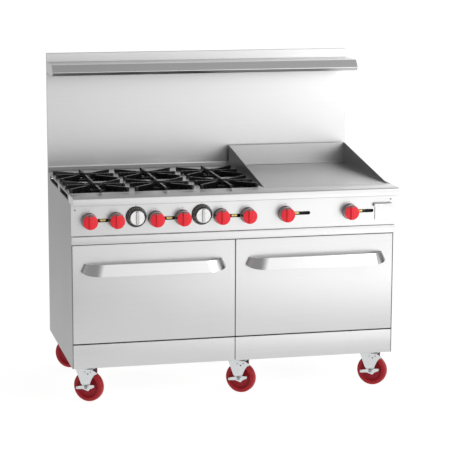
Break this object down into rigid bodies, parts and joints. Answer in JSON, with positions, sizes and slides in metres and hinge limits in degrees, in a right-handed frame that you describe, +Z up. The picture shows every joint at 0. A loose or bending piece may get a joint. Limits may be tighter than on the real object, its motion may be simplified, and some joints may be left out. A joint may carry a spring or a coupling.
{
  "type": "commercial gas range",
  "caption": "Free-standing restaurant gas range with open burners, a griddle, twin drop-door ovens, a back riser with a high shelf, and braked casters.",
  "frame": {"origin": "on the floor under the middle of the bounding box", "axes": "+Z up, the front with the knobs and doors faces -Y, +X is to the right seen from the front"},
  "size_m": [1.524, 0.889, 1.549],
  "materials": {
    "stainless_steel": "fine brushed stainless sheet",
    "galvanised_sheet": "dull galvanised sheet",
    "oven_enamel": "dark porcelain enamel",
    "rack_chrome": "bright chrome wire",
    "polished_steel": "polished steel",
    "brass": "satin",
    "griddle_steel": "ground and polished plate",
    "burner_iron": "raw casting",
    "cast_iron": "black seasoned casting",
    "zinc_plate": "bright zinc",
    "wheel_red": "dark red polyurethane",
    "knob_red": "red face on a metallised skirt",
    "dial_white": "white face on a black graduated ring"
  },
  "bodies": {
    "range_body": {"side_panel_left": "stainless_steel", "side_panel_right": "stainless_steel", "control_panel": "stainless_steel", "kick_panel_left": "stainless_steel", "kick_panel_right": "stainless_steel", "burner_deck": "stainless_steel", "back_riser": "stainless_steel", "high_shelf": "stainless_steel", "base_frame": "galvanised_sheet", "rear_panel": "galvanised_sheet", "oven_liner_left": "oven_enamel", "oven_liner_right": "oven_enamel", "gas_manifold": "brass", "griddle": "griddle_steel", "burner_front_1": "burner_iron", "burner_front_2": "burner_iron", "burner_front_3": "burner_iron", "burner_rear_1": "burner_iron", "burner_rear_2": "burner_iron", "burner_rear_3": "burner_iron"},
    "gas_knob_1": {"gas_knob_1": "knob_red"},
    "gas_knob_2": {"gas_knob_2": "knob_red"},
    "gas_knob_3": {"gas_knob_3": "knob_red"},
    "gas_knob_4": {"gas_knob_4": "knob_red"},
    "gas_knob_5": {"gas_knob_5": "knob_red"},
    "gas_knob_6": {"gas_knob_6": "knob_red"},
    "gas_knob_7": {"gas_knob_7": "knob_red"},
    "gas_knob_8": {"gas_knob_8": "knob_red"},
    "thermostat_knob_left": {"thermostat_knob_left": "dial_white"},
    "thermostat_knob_right": {"thermostat_knob_right": "dial_white"},
    "oven_door_left": {"oven_door_left": "stainless_steel", "door_handle_left": "polished_steel"},
    "oven_rack_left": {"oven_rack_left": "rack_chrome"},
    "oven_door_right": {"oven_door_right": "stainless_steel", "door_handle_right": "polished_steel"},
    "oven_rack_right": {"oven_rack_right": "rack_chrome"},
    "grate_front_1": {"grate_front_1": "cast_iron"},
    "grate_front_2": {"grate_front_2": "cast_iron"},
    "grate_front_3": {"grate_front_3": "cast_iron"},
    "grate_rear_1": {"grate_rear_1": "cast_iron"},
    "grate_rear_2": {"grate_rear_2": "cast_iron"},
    "grate_rear_3": {"grate_rear_3": "cast_iron"},
    "crumb_tray": {"crumb_tray": "stainless_steel"},
    "grease_drawer": {"grease_drawer": "stainless_steel"},
    "caster_fork_front_1": {"caster_fork_front_1": "zinc_plate"},
    "caster_wheel_front_1": {"caster_wheel_front_1": "wheel_red"},
    "brake_pedal_front_1": {"brake_pedal_front_1": "zinc_plate"},
    "caster_fork_front_2": {"caster_fork_front_2": "zinc_plate"},
    "caster_wheel_front_2": {"caster_wheel_front_2": "wheel_red"},
    "brake_pedal_front_2": {"brake_pedal_front_2": "zinc_plate"},
    "caster_fork_front_3": {"caster_fork_front_3": "zinc_plate"},
    "caster_wheel_front_3": {"caster_wheel_front_3": "wheel_red"},
    "brake_pedal_front_3": {"brake_pedal_front_3": "zinc_plate"},
    "caster_fork_rear_1": {"caster_fork_rear_1": "zinc_plate"},
    "caster_wheel_rear_1": {"caster_wheel_rear_1": "wheel_red"},
    "caster_fork_rear_2": {"caster_fork_rear_2": "zinc_plate"},
    "caster_wheel_rear_2": {"caster_wheel_rear_2": "wheel_red"},
    "caster_fork_rear_3": {"caster_fork_rear_3": "zinc_plate"},
    "caster_wheel_rear_3": {"caster_wheel_rear_3": "wheel_red"}
  },
  "joints": [
    {"name": "gas_knob_1_turn", "type": "hinge", "parent": "range_body", "child": "gas_knob_1", "pos_m": [-0.681, -0.4155, 0.8615], "axis": [0, -1, 0], "range_deg": [0, 90]},
    {"name": "gas_knob_2_turn", "type": "hinge", "parent": "range_body", "child": "gas_knob_2", "pos_m": [-0.558, -0.4155, 0.8615], "axis": [0, -1, 0], "range_deg": [0, 90]},
    {"name": "gas_knob_3_turn", "type": "hinge", "parent": "range_body", "child": "gas_knob_3", "pos_m": [-0.375, -0.4155, 0.8615], "axis": [0, -1, 0], "range_deg": [0, 90]},
    {"name": "gas_knob_4_turn", "type": "hinge", "parent": "range_body", "child": "gas_knob_4", "pos_m": [-0.251, -0.4155, 0.8615], "axis": [0, -1, 0], "range_deg": [0, 90]},
    {"name": "gas_knob_5_turn", "type": "hinge", "parent": "range_body", "child": "gas_knob_5", "pos_m": [-0.071, -0.4155, 0.8615], "axis": [0, -1, 0], "range_deg": [0, 90]},
    {"name": "gas_knob_6_turn", "type": "hinge", "parent": "range_body", "child": "gas_knob_6", "pos_m": [0.055, -0.4155, 0.8615], "axis": [0, -1, 0], "range_deg": [0, 90]},
    {"name": "gas_knob_7_turn", "type": "hinge", "parent": "range_body", "child": "gas_knob_7", "pos_m": [0.234, -0.4155, 0.8615], "axis": [0, -1, 0], "range_deg": [0, 90]},
    {"name": "gas_knob_8_turn", "type": "hinge", "parent": "range_body", "child": "gas_knob_8", "pos_m": [0.541, -0.4155, 0.8615], "axis": [0, -1, 0], "range_deg": [0, 90]},
    {"name": "thermostat_left_turn", "type": "hinge", "parent": "range_body", "child": "thermostat_knob_left", "pos_m": [-0.466, -0.4055, 0.8725], "axis": [0, -1, 0], "range_deg": [0, 270]},
    {"name": "thermostat_right_turn", "type": "hinge", "parent": "range_body", "child": "thermostat_knob_right", "pos_m": [-0.161, -0.4055, 0.8725], "axis": [0, -1, 0], "range_deg": [0, 270]},
    {"name": "oven_door_left_drop", "type": "hinge", "parent": "range_body", "child": "oven_door_left", "pos_m": [-0.38, -0.3695, 0.295], "axis": [1, 0, 0], "range_deg": [0, 90]},
    {"name": "oven_rack_left_slide", "type": "slide", "parent": "range_body", "child": "oven_rack_left", "axis": [0, -1, 0], "range_m": [0, 0.045]},
    {"name": "oven_door_right_drop", "type": "hinge", "parent": "range_body", "child": "oven_door_right", "pos_m": [0.38, -0.3695, 0.295], "axis": [1, 0, 0], "range_deg": [0, 90]},
    {"name": "oven_rack_right_slide", "type": "slide", "parent": "range_body", "child": "oven_rack_right", "axis": [0, -1, 0], "range_m": [0, 0.045]},
    {"name": "grate_front_1_lift", "type": "slide", "parent": "range_body", "child": "grate_front_1", "axis": [0, 0, 1], "range_m": [0, 0.1]},
    {"name": "grate_front_2_lift", "type": "slide", "parent": "range_body", "child": "grate_front_2", "axis": [0, 0, 1], "range_m": [0, 0.1]},
    {"name": "grate_front_3_lift", "type": "slide", "parent": "range_body", "child": "grate_front_3", "axis": [0, 0, 1], "range_m": [0, 0.1]},
    {"name": "grate_rear_1_lift", "type": "slide", "parent": "range_body", "child": "grate_rear_1", "axis": [0, 0, 1], "range_m": [0, 0.1]},
    {"name": "grate_rear_2_lift", "type": "slide", "parent": "range_body", "child": "grate_rear_2", "axis": [0, 0, 1], "range_m": [0, 0.1]},
    {"name": "grate_rear_3_lift", "type": "slide", "parent": "range_body", "child": "grate_rear_3", "axis": [0, 0, 1], "range_m": [0, 0.1]},
    {"name": "crumb_tray_slide", "type": "slide", "parent": "range_body", "child": "crumb_tray", "axis": [0, -1, 0], "range_m": [0, 0.45]},
    {"name": "grease_drawer_slide", "type": "slide", "parent": "range_body", "child": "grease_drawer", "axis": [0, -1, 0], "range_m": [0, 0.28]},
    {"name": "caster_front_1_swivel", "type": "hinge", "parent": "range_body", "child": "caster_fork_front_1", "pos_m": [-0.686, -0.2951, 0.16], "axis": [0, 0, 1], "continuous": true},
    {"name": "caster_front_1_spin", "type": "hinge", "parent": "caster_fork_front_1", "child": "caster_wheel_front_1", "pos_m": [-0.67708, -0.30153, 0.072], "axis": [0.585, 0.8111, 0], "continuous": true},
    {"name": "brake_front_1_rock", "type": "hinge", "parent": "caster_fork_front_1", "child": "brake_pedal_front_1", "pos_m": [-0.67708, -0.30153, 0.072], "axis": [0.585, 0.8111, 0], "range_deg": [-10, 10]},
    {"name": "caster_front_2_swivel", "type": "hinge", "parent": "range_body", "child": "caster_fork_front_2", "pos_m": [0.037, -0.2951, 0.16], "axis": [0, 0, 1], "continuous": true},
    {"name": "caster_front_2_spin", "type": "hinge", "parent": "caster_fork_front_2", "child": "caster_wheel_front_2", "pos_m": [0.04592, -0.30153, 0.072], "axis": [0.585, 0.8111, 0], "continuous": true},
    {"name": "brake_front_2_rock", "type": "hinge", "parent": "caster_fork_front_2", "child": "brake_pedal_front_2", "pos_m": [0.04592, -0.30153, 0.072], "axis": [0.585, 0.8111, 0], "range_deg": [-10, 10]},
    {"name": "caster_front_3_swivel", "type": "hinge", "parent": "range_body", "child": "caster_fork_front_3", "pos_m": [0.684, -0.2951, 0.16], "axis": [0, 0, 1], "continuous": true},
    {"name": "caster_front_3_spin", "type": "hinge", "parent": "caster_fork_front_3", "child": "caster_wheel_front_3", "pos_m": [0.69292, -0.30153, 0.072], "axis": [0.585, 0.8111, 0], "continuous": true},
    {"name": "brake_front_3_rock", "type": "hinge", "parent": "caster_fork_front_3", "child": "brake_pedal_front_3", "pos_m": [0.69292, -0.30153, 0.072], "axis": [0.585, 0.8111, 0], "range_deg": [-10, 10]},
    {"name": "caster_rear_1_swivel", "type": "hinge", "parent": "range_body", "child": "caster_fork_rear_1", "pos_m": [-0.686, 0.3309, 0.16], "axis": [0, 0, 1], "continuous": true},
    {"name": "caster_rear_1_spin", "type": "hinge", "parent": "caster_fork_rear_1", "child": "caster_wheel_rear_1", "pos_m": [-0.67708, 0.32447, 0.072], "axis": [0.585, 0.8111, 0], "continuous": true},
    {"name": "caster_rear_2_swivel", "type": "hinge", "parent": "range_body", "child": "caster_fork_rear_2", "pos_m": [0.037, 0.3309, 0.16], "axis": [0, 0, 1], "continuous": true},
    {"name": "caster_rear_2_spin", "type": "hinge", "parent": "caster_fork_rear_2", "child": "caster_wheel_rear_2", "pos_m": [0.04592, 0.32447, 0.072], "axis": [0.585, 0.8111, 0], "continuous": true},
    {"name": "caster_rear_3_swivel", "type": "hinge", "parent": "range_body", "child": "caster_fork_rear_3", "pos_m": [0.684, 0.3309, 0.16], "axis": [0, 0, 1], "continuous": true},
    {"name": "caster_rear_3_spin", "type": "hinge", "parent": "caster_fork_rear_3", "child": "caster_wheel_rear_3", "pos_m": [0.69292, 0.32447, 0.072], "axis": [0.585, 0.8111, 0], "continuous": true}
  ]
}
